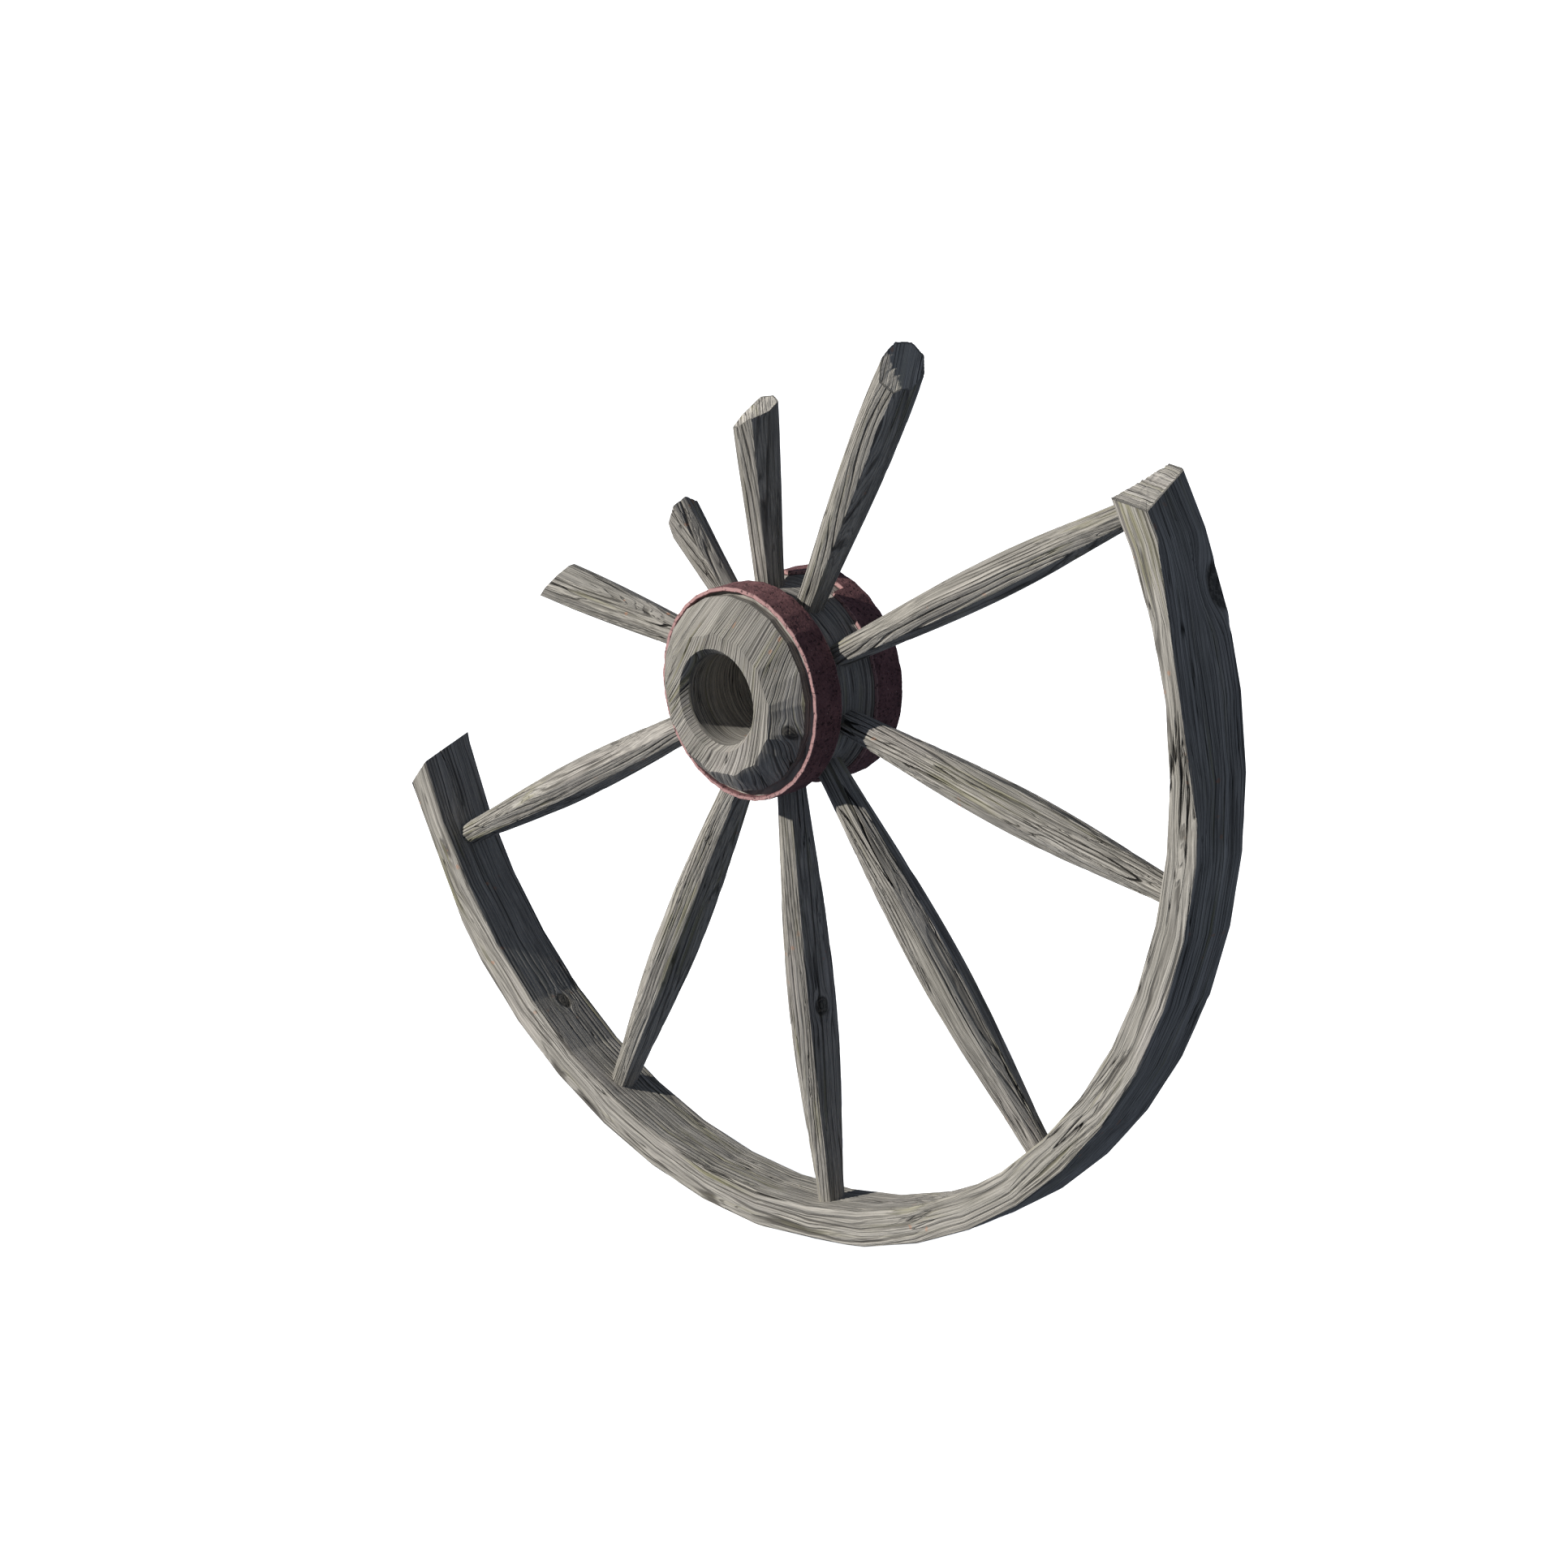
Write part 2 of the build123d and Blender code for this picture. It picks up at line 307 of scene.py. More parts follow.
# %% [markdown]
# ## What weather does to wood
#
# Rain and sun take the soft wood away between the hard yearly rings, open long drying cracks,
# called checks, and turn what is left silver grey. A crack is drawn where a stretched noise
# crosses its middle value: that line wanders along the grain, forks and closes, as a real check
# does. The same function is used in the mesh, where it cuts a groove, and in the material,
# where it darkens it.


# %% Cracks and hollows
def crack_lines(net, grain, across, along, width, patch_scale, cover):
    """1 in the middle of a crack, 0 outside. A higher cover leaves more of the wood whole."""
    value = net.noise(grain, (across, across, along), 1.5, 0.45)
    patch = net.noise(grain, patch_scale, 1.0).rise(cover, cover + 0.16, smooth=True)
    away = (value - 0.5).size()
    return (1.0 - away / (patch * width + 0.0008)).most(0.0) * patch


def checks(net, grain):
    """The few long cracks that are wide enough to cast a shadow."""
    return crack_lines(
        net, grain, across=75.0, along=1.6, width=0.010, patch_scale=(26.0, 26.0, 4.0), cover=0.53
    )


def splits(net, grain):
    """The many short cracks between the checks."""
    return crack_lines(
        net, grain, across=210.0, along=4.0, width=0.025, patch_scale=(70.0, 70.0, 9.0), cover=0.47
    )


RINGS_A_METRE = 270.0
HAIRS_A_METRE = 820.0
ACROSS_RINGS = (0.88, 0.48, 0.0)


def ring_grooves(net, grain, per_metre):
    """The soft wood that the weather has taken from between the yearly rings, 0 to 1."""
    bend = net.noise(grain, (42.0, 42.0, 2.0), 2.0, 0.55) * (per_metre / 62.0)
    ring = (grain.dot(ACROSS_RINGS) * per_metre + bend).math("FRACT")
    groove = ((ring - 0.5).size() * 2.0).rise(0.64, 0.92, smooth=True)
    deep = net.noise(grain, (per_metre * 0.4, per_metre * 0.4, 6.0), 1.0).rise(0.36, 0.62)
    return groove * (deep * 0.80 + 0.20)


HOLLOW_DEPTH = 0.8 * MM
GROOVE_DEPTH = 0.5 * MM
CHECK_DEPTH = 1.6 * MM
SPLIT_DEPTH = 0.5 * MM
KNOT_DEPTH = 0.4 * MM


def weather_depth(net, grain):
    """How far the weather has eaten into the wood, in metres."""
    grain, knots = settle_grain(net, grain)
    hollows = net.noise(grain, (50.0, 50.0, 5.0), 2.0)
    depth = hollows * HOLLOW_DEPTH + ring_grooves(net, grain, RINGS_A_METRE) * GROOVE_DEPTH
    depth = depth + checks(net, grain).rise(0.0, 0.8) * CHECK_DEPTH
    return depth + splits(net, grain) * SPLIT_DEPTH + knots * KNOT_DEPTH


print("checks are cut", CHECK_DEPTH * 1000, "mm deep")

# %% [markdown]
# ## Weathered wood, as a material
#
# The colour starts as two greys mixed by fine fibres, then by soft bands and patches, and the
# grooves between the yearly rings are darker. Cracks are then darkened, knots browned, and a
# little olive algae and orange lichen laid on. Where a piece has broken, an attribute called
# torn makes the younger wood paler. The fine fibres also feed the bump, because they are much
# finer than the mesh.


# %% Weathered wood
def new_material(name):
    """A material with only an output, its net, and the output's surface socket."""
    material = bpy.data.materials.new(name)
    material.use_nodes = True
    material.node_tree.nodes.clear()
    net = Net(material.node_tree)
    output = material.node_tree.nodes.new("ShaderNodeOutputMaterial")
    return material, net, output.inputs["Surface"]


def rgb(red, green, blue):
    """A display colour from 0 to 255 as the linear one that a shader wants."""
    return tuple((c / 255) ** 2.2 for c in (red, green, blue)) + (1.0,)


def weathered_wood(name, grain_of, tone=1.0):
    """A silver-grey wood. grain_of(net) gives the grain vector that it follows."""
    material, net, surface = new_material(name)
    raw = grain_of(net)
    grain, knots = settle_grain(net, raw)

    fibres = net.noise(grain, (900.0, 900.0, 16.0), 3.0, 0.6)
    bands = net.noise(grain, (95.0, 95.0, 2.5), 2.0, 0.5)
    patches = net.noise(grain, (24.0, 24.0, 7.0), 3.0, 0.55)
    speckle = net.noise(grain, (1400.0, 1400.0, 420.0), 2.0, 0.6)
    grooves = ring_grooves(net, grain, RINGS_A_METRE)

    colour = net.mix(fibres.rise(0.34, 0.64), rgb(124, 120, 113), rgb(184, 178, 167))
    colour = net.mix(bands.rise(0.50, 0.66) * 0.30, colour, rgb(198, 193, 184))
    colour = net.mix(bands.rise(0.46, 0.32) * 0.25, colour, rgb(132, 128, 118))
    colour = net.mix(patches.rise(0.54, 0.72) * 0.25, colour, rgb(200, 190, 184))
    colour = net.mix(patches.rise(0.46, 0.30) * 0.25, colour, rgb(126, 122, 108))
    colour = net.mix(grooves * 0.78, colour, rgb(66, 62, 57))

    algae = net.noise(grain, (150.0, 150.0, 6.0), 3.0, 0.6).rise(0.55, 0.66)
    algae = algae * net.noise(raw, (17.0, 17.0, 9.0), 1.0).rise(0.42, 0.62)
    colour = net.mix(algae * 0.50, colour, rgb(136, 132, 88))

    hair = ring_grooves(net, grain, HAIRS_A_METRE)
    dark = splits(net, grain).most(hair * 0.50)
    dark = dark.most(checks(net, grain).rise(0.0, 0.55)).rise(0.05, 0.95)
    colour = net.mix(dark * 0.93, colour, rgb(36, 33, 29))

    ring_lines = knot_rings(net, raw).rise(-0.2, 0.9)
    ringed = net.mix(ring_lines, rgb(48, 44, 38), rgb(100, 94, 83))
    colour = net.mix(knots * 0.80, colour, ringed)

    spot_at = net.noise(raw, 120.0, 1.0, out=1) * 0.006 + raw
    spots = net.add("ShaderNodeTexVoronoi", None, {"Vector": spot_at, "Scale": 75.0}, "Distance")
    rare = net.noise(raw, 20.0, 1.0).rise(0.60, 0.66)
    lichen = (1.0 - spots.rise(0.12, 0.20)) * rare
    colour = net.mix(lichen * 0.40, colour, rgb(190, 128, 92))

    torn = net.add("ShaderNodeAttribute", {"attribute_name": "torn"}, None, "Fac")
    colour = colour * (speckle * 0.35 + 0.825) * (torn * 0.42 + tone)
    height = fibres * 0.5 + speckle * 0.12 - grooves * 0.8 - dark * 1.5
    bump = net.add(
        "ShaderNodeBump",
        None,
        {"Strength": 0.75, "Distance": 0.0011, "Height": height},
    )
    shader = net.add(
        "ShaderNodeBsdfPrincipled",
        None,
        {
            "Base Color": colour,
            "Roughness": fibres * -0.12 + 0.92,
            "Specular IOR Level": 0.25,
            "Normal": bump,
        },
    )
    net.feed(surface, shader)
    return material


def knot_rings(net, raw):
    """The knots' own yearly rings, as a wave of their distance from the middle."""
    waves = None
    for knot in KNOTS:
        _, far = knot_nearness(net, raw, knot)
        uneven = net.noise(raw, 260.0, 2.0) * 1.1
        wave = ((far + uneven) * 13.0).sine() * (1.0 - far.rise(1.0, 1.4))
        waves = wave if waves is None else waves + wave
    return waves


def stored_grain(net):
    """The grain that a piece carries on its points."""
    settings = {"attribute_type": "GEOMETRY", "attribute_name": "grain"}
    return net.add("ShaderNodeAttribute", settings, None, "Vector")


def solid_grain(net):
    """Plain places in the piece, for a solid that carries no grain."""
    return net.add("ShaderNodeTexCoord", None, None, "Object") * 1.0


wood = weathered_wood("weathered_oak", stored_grain)
dowel_wood = weathered_wood("dowel_oak", solid_grain, tone=0.8)
print("nodes in the wood:", len(wood.node_tree.nodes))

# %% [markdown]
# ## Rusty iron, as a material
#
# The nave's two hoops were hot-forged and have rusted for decades. Old rust is a dull maroon
# skin, pitted and flecked, and paler and pinker where an edge has been rubbed. An attribute
# called rub, stored on the hoops' points, says where their edges are.


# %% Rusty iron
def rusty_iron(name):
    """A dull maroon rust, paler where the rub attribute is high."""
    material, net, surface = new_material(name)
    place = net.add("ShaderNodeTexCoord", None, None, "Object")
    rub = net.add(
        "ShaderNodeAttribute",
        {"attribute_type": "GEOMETRY", "attribute_name": "rub"},
        None,
        "Fac",
    )
    mottle = net.noise(place, 60.0, 4.0, 0.6)
    grit = net.noise(place, 520.0, 3.0, 0.65)
    cells = net.add("ShaderNodeTexVoronoi", None, {"Vector": place, "Scale": 260.0}, "Distance")
    pits = net.noise(place, 330.0, 2.0, 0.6).rise(0.57, 0.68)

    colour = net.mix(mottle.rise(0.32, 0.68), rgb(96, 66, 68), rgb(130, 92, 92))
    colour = net.mix(grit.rise(0.45, 0.75) * 0.5, colour, rgb(158, 116, 112))
    colour = net.mix(net.noise(place, 25.0, 3.0).rise(0.55, 0.7) * 0.4, colour, rgb(82, 60, 64))
    edge = (rub + (mottle - 0.5) * 0.5).rise(0.35, 0.75)
    colour = net.mix(edge * 0.80, colour, rgb(186, 146, 142))
    flecks = (1.0 - cells.rise(0.08, 0.16)) * net.noise(place, 90.0, 1.0).rise(0.58, 0.64)
    colour = net.mix(flecks * 0.7, colour, rgb(206, 182, 176))
    colour = net.mix(pits * 0.75, colour, rgb(44, 30, 32))

    height = grit * 0.6 + mottle * 0.8 - pits * 1.2 + flecks * 0.3
    bump = net.add(
        "ShaderNodeBump",
        None,
        {"Strength": 0.7, "Distance": 0.0010, "Height": height},
    )
    shader = net.add(
        "ShaderNodeBsdfPrincipled",
        None,
        {
            "Base Color": colour,
            "Roughness": 0.88 - flecks * 0.2,
            "Metallic": 0.0,
            "Specular IOR Level": 0.3,
            "Normal": bump,
        },
    )
    net.feed(surface, shader)
    return material


iron = rusty_iron("rusty_iron")
print("nodes in the iron:", len(iron.node_tree.nodes))

# %% [markdown]
# ## Growing a piece in a geometry tree
#
# Spokes, felloes and hoops all follow a rule: a section carried along a line. Each of their
# trees starts from a flat grid. One way of the grid goes round the section and the other along
# the piece, and one Set Position node wraps it into shape. Because the rule gives every point's
# place, it can also give its grain and the way that is straight into the wood.


# %% Tree helpers
class Piece:
    """A geometry tree that wraps a grid into a piece."""

    def __init__(self, name, sizes, columns, rows):
        self.tree = bpy.data.node_groups.new(name, "GeometryNodeTree")
        self.net = Net(self.tree)
        face = self.tree.interface
        self.sockets = {}
        for size, kind in sizes.items():
            socket = face.new_socket(size, in_out="INPUT", socket_type="NodeSocket" + kind)
            self.sockets[size] = socket.identifier
        face.new_socket("Piece", in_out="OUTPUT", socket_type="NodeSocketGeometry")
        group_input = self.tree.nodes.new("NodeGroupInput")
        self.sizes = {s: Value(self.net, group_input.outputs[s]) for s in sizes}
        grid = {"Size X": columns, "Size Y": rows, "Vertices X": columns + 1}
        grid["Vertices Y"] = rows + 1
        self.geometry = self.net.add("GeometryNodeMeshGrid", None, grid)
        place = self.net.add("GeometryNodeInputPosition")
        self.column = place.part(0) + columns / 2
        self.row = place.part(1) + rows / 2

    def store(self, name, value, kind="FLOAT_VECTOR"):
        """Keeps a value on every point, for the material to read."""
        settings = {"data_type": kind, "domain": "POINT"}
        inputs = {"Geometry": self.geometry, "Name": name, "Value": value}
        self.geometry = self.net.add("GeometryNodeStoreNamedAttribute", settings, inputs)

    def close(self, place):
        """Puts every point in its place, welds the seams and paints the result."""
        net = self.net
        inputs = {"Geometry": self.geometry, "Position": place}
        shaped = net.add("GeometryNodeSetPosition", None, inputs)
        inputs = {"Geometry": shaped, "Distance": WELD}
        welded = net.add("GeometryNodeMergeByDistance", None, inputs)
        smooth = net.add("GeometryNodeSetShadeSmooth", None, {"Geometry": welded})
        real = net.add("GeometryNodeRealizeInstances", None, {"Geometry": smooth})
        inputs = {"Geometry": real, "Material": self.sizes["Material"]}
        painted = net.add("GeometryNodeSetMaterial", None, inputs)
        output = self.tree.nodes.new("NodeGroupOutput")
        net.feed(output.inputs[0], painted)


SHARP_DEGREES = 24.0  # an edge that bends more than this stays crisp
WELD = 0.02 * MM
LEAST = 0.00001  # keeps a division away from nought


def many_sided(angle, side):
    """How far an outline with flat sides lies inside its circle. A side takes up this angle."""
    in_side = (angle / side).math("FRACT") - 0.5
    return (in_side * side).cosine() ** -1.0 * math.cos(side / 2)


def rectangle(column, wide, deep):
    """The columns laid round a rectangle, as shares from -0.5 to 0.5 rearwards and outwards."""
    turns = (0, wide, wide + deep, 2 * wide + deep, 2 * (wide + deep))
    rearwards = column.rise(turns[0], turns[1]) - column.rise(turns[2], turns[3]) - 0.5
    outwards = column.rise(turns[1], turns[2]) - column.rise(turns[3], turns[4]) - 0.5
    return rearwards, outwards


def round_corners(rearwards, outwards, half_width, half_depth, corner):
    """A rectangle with its corners drawn in to arcs, and each point's way out of the wood."""
    over_y = (rearwards.size() - (half_width - corner)).most(0.0)
    over_r = (outwards.size() - (half_depth - corner)).most(0.0)
    over = (over_y * over_y + over_r * over_r).root().most(LEAST)
    way_y, way_r = rearwards.math("SIGN") * over_y / over, outwards.math("SIGN") * over_r / over
    pull = (over - corner).most(0.0)
    return rearwards - way_y * pull, outwards - way_r * pull, way_y, way_r


def face_outwards(mesh):
    """Flips a mesh whose faces point in, and gives its litres and how many edges are open."""
    shape = bmesh.new()
    shape.from_mesh(mesh)
    volume = shape.calc_volume(signed=True)
    open_edges = sum(1 for e in shape.edges if len(e.link_faces) != 2)
    shape.free()
    if volume < 0:
        mesh.flip_normals()
    return abs(volume) * 1000, open_edges


def grow(piece, name, node, slot, **sizes):
    """Runs a tree with these sizes, and keeps the result as a plain mesh in place of a solid."""
    holder = bpy.data.objects.new(name + "_grid", bpy.data.meshes.new(name + "_grid"))
    bpy.context.scene.collection.objects.link(holder)
    modifier = holder.modifiers.new("grow", "NODES")
    modifier.node_group = piece.tree
    for size, value in sizes.items():
        modifier[piece.sockets[size.replace("_", " ").capitalize()]] = value
    graph = bpy.context.evaluated_depsgraph_get()
    mesh = bpy.data.meshes.new_from_object(holder.evaluated_get(graph), depsgraph=graph)
    bpy.data.objects.remove(holder)
    return keep(mesh, name, node)


def keep(mesh, name, node):
    """Makes a mesh a piece of the wheel, standing for one solid of the engineering model."""
    mesh.name = name
    litres, open_edges = face_outwards(mesh)
    mesh.set_sharp_from_angle(angle=math.radians(SHARP_DEGREES))
    piece = bpy.data.objects.new(name, mesh)
    bpy.context.scene.collection.objects.link(piece)
    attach(piece, "root")
    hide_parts(node)
    print(f"{name}: {len(mesh.polygons)} faces, {litres:.2f} litres, {open_edges} open edges")
    return piece


print("edges stay crisp past", SHARP_DEGREES, "degrees")

# %% [markdown]
# ## The spokes
#
# A spoke is cleft oak, shaved to eight sides. It is slim where it enters the nave, swells to
# its belly a little past halfway, and thins again to the rim. Six are whole. Four have snapped,
# each across one or two slanting planes. One tree makes all ten: its inputs are the spoke's
# angle, how far it passes beside the wheel's axis, and its breaks. Below the body comes the foot
# tenon in the nave, and above it the round tongue in the felloe.

# %% The spoke's tree
SPOKE_COLUMNS = 160
FOOT_ROWS = 3
BODY_ROWS = 150
CAP_ROWS = 14
TENON_END = 0.0565  # radii from here to the tip: the foot tenon's end, in the nave
SEAT_R = 0.0805  # where the body starts to swell
BODY_START = 0.0775
BELLY_R = 0.290
TIP_R = 0.4775
TONGUE = 0.014  # how far the tongue runs on into the felloe
SETBACK = 0.002  # how far the spokes stand in front of the rim's middle
SPOKE_ROOT = (0.0120, 0.0145)  # half sizes of the section, round the rim and along the axle
SPOKE_BELLY = (0.0190, 0.0255)
SPOKE_TIP = (0.0115, 0.0135)
TENON_SIZE = (0.0065, 0.0095)
TONGUE_SHARE = 0.55  # of the spoke's tip
SWELL_POWER = 1.4  # more holds the spoke slim for longer at both ends
CORNER_WEAR = 0.010  # share of the section that is worn off its eight corners
TEAR_DEPTH = 1.2 * MM

spoke_sizes = {
    "Angle": "Float",
    "Beside": "Float",
    "First break": "Vector",
    "Second break": "Vector",
    "Whole": "Float",
    "Grain shift": "Vector",
    "Material": "Material",
}
spoke_tree = Piece("spoke", spoke_sizes, SPOKE_COLUMNS, FOOT_ROWS + BODY_ROWS + CAP_ROWS)


def swelling(radius):
    """The spoke's half sizes at a radius, round the rim and along the axle."""
    inner = radius.rise(SEAT_R, BELLY_R)
    outer = 1.0 - radius.rise(BELLY_R, TIP_R)
    share = inner.least(outer) * (math.pi / 2)
    share = share.sine().most(0.0) ** SWELL_POWER
    past = radius.rise(BELLY_R, BELLY_R + 0.0001)
    sizes = []
    for root, belly, tip in zip(SPOKE_ROOT, SPOKE_BELLY, SPOKE_TIP):
        end = past * (tip - root) + root
        sizes.append(end + (belly - end) * share)
    return sizes


def plane_height(plane, across, rearwards):
    """The radius of a break at a point of the section."""
    return plane.part(0) + plane.part(1) * across + plane.part(2) * rearwards


def build_spoke(tree):
    """Wraps the grid into a spoke: its foot tenon, its body, then its tongue or its break."""
    net, size, row = tree.net, tree.sizes, tree.row
    turn = tree.column * (2 * math.pi / SPOKE_COLUMNS)
    eighth = math.pi / 4
    reach = many_sided(turn, eighth)
    corner = reach.rise(math.cos(eighth / 2), 1.0)
    reach = reach - corner * corner * corner * CORNER_WEAR
    side_x, side_y = turn.cosine() * reach, turn.sine() * reach

    body_end = FOOT_ROWS + BODY_ROWS
    first, second = size["First break"], size["Second break"]
    top = first.part(0)
    for _ in range(2):
        half_x, half_y = swelling(top)
        spot = (side_x * half_x, side_y * half_y)
        top = plane_height(first, *spot).least(plane_height(second, *spot))
    body = (top - BODY_START) * row.rise(FOOT_ROWS, body_end) + BODY_START
    half_x, half_y = swelling(body)

    tenon = 1.0 - row.rise(FOOT_ROWS - 1, FOOT_ROWS)
    opened = row.rise(0, 1)
    half_x = half_x * (1.0 - tenon) + tenon * opened * TENON_SIZE[0]
    half_y = half_y * (1.0 - tenon) + tenon * opened * TENON_SIZE[1]
    across, rearwards = side_x * half_x, side_y * half_y

    grain = net.vector(across, rearwards, body) + size["Grain shift"]
    depth = weather_depth(net, grain)
    steep = net.vector(side_x / half_x.most(0.001), side_y / half_y.most(0.001), 0.0)
    inward = steep.math("NORMALIZE") * (depth * row.rise(1, FOOT_ROWS))
    across, rearwards = across - inward.part(0), rearwards - inward.part(1)

    whole = size["Whole"]
    plain_cap = 1.0 - row.rise(body_end, body_end + CAP_ROWS)
    tongue_cap = 1.0 - row.rise(body_end, body_end + 1) * (1.0 - TONGUE_SHARE)
    tongue_cap = tongue_cap * (1.0 - row.rise(body_end + 2, body_end + CAP_ROWS))
    cap = plain_cap + (tongue_cap - plain_cap) * whole
    across, rearwards = across * cap, rearwards * cap
    broken = plane_height(first, across, rearwards).least(plane_height(second, across, rearwards))
    on_cap = row.rise(body_end - 0.1, body_end)
    on_section = net.vector(across, rearwards, 0.0) + size["Grain shift"]
    tear = net.noise(on_section, (190.0, 60.0, 60.0)).rise(0.45, 0.7) * TEAR_DEPTH
    broken = broken - tear * (1.0 - cap).rise(0.0, 0.12) * (1.0 - whole)
    outwards = body + (broken - body) * on_cap
    outwards = outwards + whole * TONGUE * row.rise(body_end + 1, body_end + 2)
    outwards = outwards + (TENON_END - BODY_START) * (1.0 - row.rise(1, FOOT_ROWS - 1))

    streak = across * 0.67 - rearwards * 0.74
    along_streak = across * 0.74 + rearwards * 0.67
    end_grain = net.vector(streak, streak * 0.4, along_streak) + size["Grain shift"]
    on_face = row.rise(body_end + 0.5, body_end + 0.6) * (1.0 - whole)
    tree.store("grain", grain + (end_grain - grain) * on_face)
    tree.store("torn", on_face, "FLOAT")

    angle = size["Angle"] * (math.pi / 180)
    cosine, sine = angle.cosine(), angle.sine()
    beside = across + size["Beside"]
    x = outwards * cosine - beside * sine
    z = outwards * sine + beside * cosine
    tree.close(net.vector(x, rearwards - SETBACK, z))


build_spoke(spoke_tree)
print("nodes in the spoke's tree:", len(spoke_tree.tree.nodes))

# %% Ten spokes
# Each spoke: its angle, how far it passes beside the axis in millimetres, and its two breaks. A
# break is a plane: its radius at the spoke's middle, then its slopes across and to the rear.
TIP = (TIP_R, 0.0, 0.0)
SPOKES = [
    ("spoke_01", -150.2, -1.8, TIP, TIP),
    ("spoke_02", -115.4, -2.0, TIP, TIP),
    ("spoke_03", -82.3, 1.0, TIP, TIP),
    ("spoke_04", -48.7, 3.0, TIP, TIP),
    ("spoke_05", -10.4, -3.0, TIP, TIP),
    ("spoke_06", 29.7, -1.2, TIP, TIP),
    ("spoke_07_stub", 64.6, 0.7, (0.3435, 0.75, 0.26), (0.3485, 0.75, 0.75)),
    ("spoke_08_stub", 96.8, 2.7, (0.2455, -0.43, 0.58), (0.2455, 0.10, 0.30)),
    ("spoke_09_stub", 133.5, 0.4, (0.1740, -0.96, -0.05), (0.1740, -0.96, -0.05)),
    ("spoke_10_stub", 173.5, -5.5, (0.2915, 0.78, 0.40), (0.2915, 0.78, 0.40)),
]
for number, (name, angle, beside, first, second) in enumerate(SPOKES, start=1):
    grow(
        spoke_tree,
        "oak_" + name,
        name,
        "spoke_wood",
        angle=angle,
        beside=beside * MM,
        first_break=first,
        second_break=second,
        whole=0.0 if name.endswith("stub") else 1.0,
        grain_shift=spoke_shift(number),
        material=wood,
    )

# %% [markdown]
# ## The felloes
#
# The rim is built of felloes, lengths of oak sawn to the curve and butted end to end. Their
# section is a rectangle with worn corners. The tread isn't quite round, because it was sawn
# and adzed in short flats. The weather has taken more from the outer front corner in three
# places, where points beyond a slanting plane are pushed back onto it. The two outer ends are
# broken. One tree makes all three felloes, and the grain runs on through the joints.

# %% The felloe's tree
TREAD_R = 0.5095
RIM_R = 0.476
HALF_WIDTH = 0.031
HALF_DEPTH = (TREAD_R - RIM_R) / 2
RIM_MIDDLE = (TREAD_R + RIM_R) / 2
CORNER_R = 0.0026
FLAT_DEGREES = 7.75  # one flat of the tread
FLAT_START = 2.5
WIDE_SAMPLES = 46
DEEP_SAMPLES = 26
FELLOE_COLUMNS = 2 * (WIDE_SAMPLES + DEEP_SAMPLES)
FELLOE_ROWS = 240
END_ROWS = 10
# Each worn flat: its middle's angle, its depth below the tread's corner, and the tilt of its
# face from outwards to the front.
WEAR = [(12.0, 0.015, 21.0), (-151.0, 0.0095, 30.0), (-83.0, 0.0045, 30.0)]
WEAR_ROUGHNESS = 1.4 * MM
WEAR_REACH = (0.5, 0.6)  # in radians either side of a worn flat's middle, where it fades
CHIP_SLOPES = (2.0, -0.419)  # outwards and to the rear
RIM_WEATHER = 1.15

felloe_sizes = {
    "Start": "Float",
    "Start slope": "Vector",
    "End": "Float",
    "End slope": "Vector",
    "Chip": "Float",
    "Material": "Material",
}
felloe_tree = Piece("felloe", felloe_sizes, FELLOE_COLUMNS, FELLOE_ROWS + 2 * END_ROWS)


